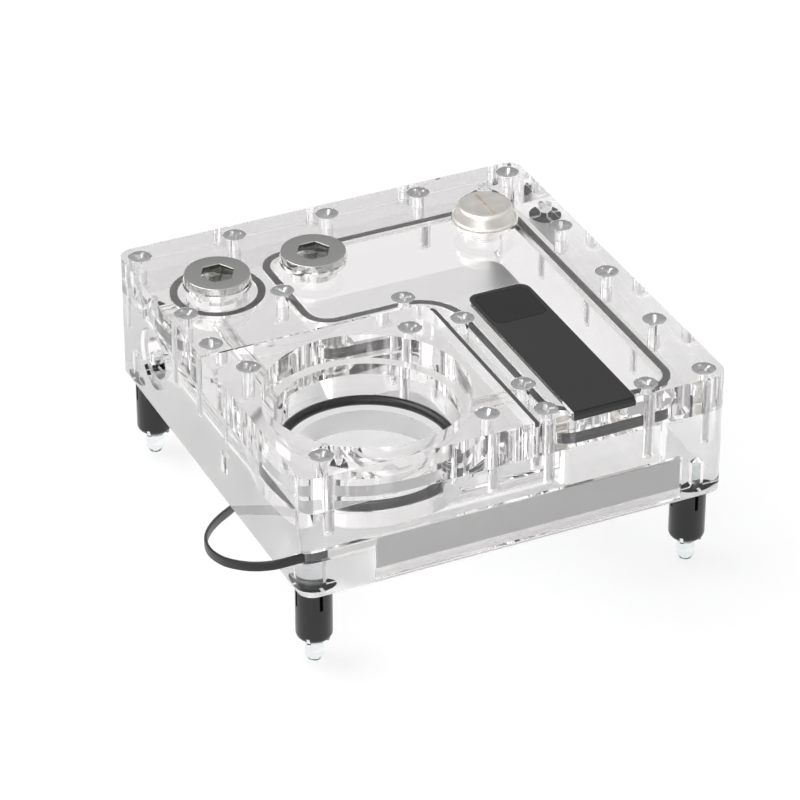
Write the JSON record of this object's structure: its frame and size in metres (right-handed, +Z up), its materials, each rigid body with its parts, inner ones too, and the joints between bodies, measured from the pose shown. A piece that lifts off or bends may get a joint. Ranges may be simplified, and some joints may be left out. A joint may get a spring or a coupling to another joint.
{
  "type": "coolant pump reservoir",
  "caption": "Flat clear reservoir for a liquid cooling loop, with a stepped pump well, L-shaped coolant chamber, plugged ports, light strip and stand-off feet at a fan's spacing.",
  "frame": {"origin": "centre of the body's outline, on the plane of the foot tips", "axes": "+X right, +Y to the back, +Z up; the pump well is at the front left"},
  "size_m": [0.1332, 0.1208, 0.0631],
  "materials": {
    "clear_acrylic": "cast acrylic, milled and polished",
    "seal_rubber": "moulded rubber cord, matt",
    "pump_seal_rubber": "moulded rubber O-ring, satin",
    "label_black": "black satin plastic",
    "nickel_brass": "turned brass, nickel plated and polished",
    "screw_steel": "stainless steel, bright",
    "board_grey": "light board's plain back",
    "emitter": "moulded light emitters",
    "lead_white": "thin flat lead",
    "cable_black": "extruded flat cable jacket",
    "foot_black": "moulded black plastic",
    "foot_clear": "moulded clear plastic"
  },
  "bodies": {
    "reservoir": {"base_block": "clear_acrylic", "cover_plate": "clear_acrylic", "pump_plate": "clear_acrylic", "chamber_seal": "seal_rubber", "port_seal": "seal_rubber", "joint_cord": "seal_rubber", "pump_seal": "pump_seal_rubber", "label_strip": "label_black", "label_tile": "label_black", "cover_screws": "screw_steel", "pump_plate_screws": "screw_steel", "light_board": "board_grey", "light_emitters": "emitter", "slot_bar": "clear_acrylic", "light_lead": "lead_white", "light_cable": "cable_black", "foot_sleeve_1": "foot_black", "foot_sleeve_2": "foot_black", "foot_sleeve_3": "foot_black", "foot_sleeve_4": "foot_black", "foot_pin_1": "foot_clear", "foot_pin_2": "foot_clear", "foot_pin_3": "foot_clear", "foot_pin_4": "foot_clear"},
    "left_plug_seal": {"left_plug_seal": "pump_seal_rubber"},
    "left_plug": {"left_plug": "nickel_brass"},
    "mid_plug_seal": {"mid_plug_seal": "pump_seal_rubber"},
    "mid_plug": {"mid_plug": "nickel_brass"},
    "fill_plug_seal": {"fill_plug_seal": "pump_seal_rubber"},
    "fill_plug": {"fill_plug": "nickel_brass"}
  },
  "joints": [
    {"name": "left_plug_lift", "type": "slide", "parent": "reservoir", "child": "left_plug_seal", "axis": [0, 0, 1], "range_m": [0, 0.0072]},
    {"name": "left_plug_turn", "type": "hinge", "parent": "left_plug_seal", "child": "left_plug", "pos_m": [-0.0399, 0.0362, 0.0569], "axis": [0, 0, 1], "range_deg": [0, 1938]},
    {"name": "mid_plug_lift", "type": "slide", "parent": "reservoir", "child": "mid_plug_seal", "axis": [0, 0, 1], "range_m": [0, 0.0072]},
    {"name": "mid_plug_turn", "type": "hinge", "parent": "mid_plug_seal", "child": "mid_plug", "pos_m": [-0.0126, 0.0362, 0.0569], "axis": [0, 0, 1], "range_deg": [0, 1938]},
    {"name": "fill_plug_lift", "type": "slide", "parent": "reservoir", "child": "fill_plug_seal", "axis": [0, 0, 1], "range_m": [0, 0.0072]},
    {"name": "fill_plug_turn", "type": "hinge", "parent": "fill_plug_seal", "child": "fill_plug", "pos_m": [0.0373, 0.0362, 0.0569], "axis": [0, 0, 1], "range_deg": [0, 1938]}
  ],
  "couplings": [
    {"joint": "left_plug_lift", "follows": "left_plug_turn", "m_per_rad": 0.00021279},
    {"joint": "mid_plug_lift", "follows": "mid_plug_turn", "m_per_rad": 0.00021279},
    {"joint": "fill_plug_lift", "follows": "fill_plug_turn", "m_per_rad": 0.00021279}
  ]
}
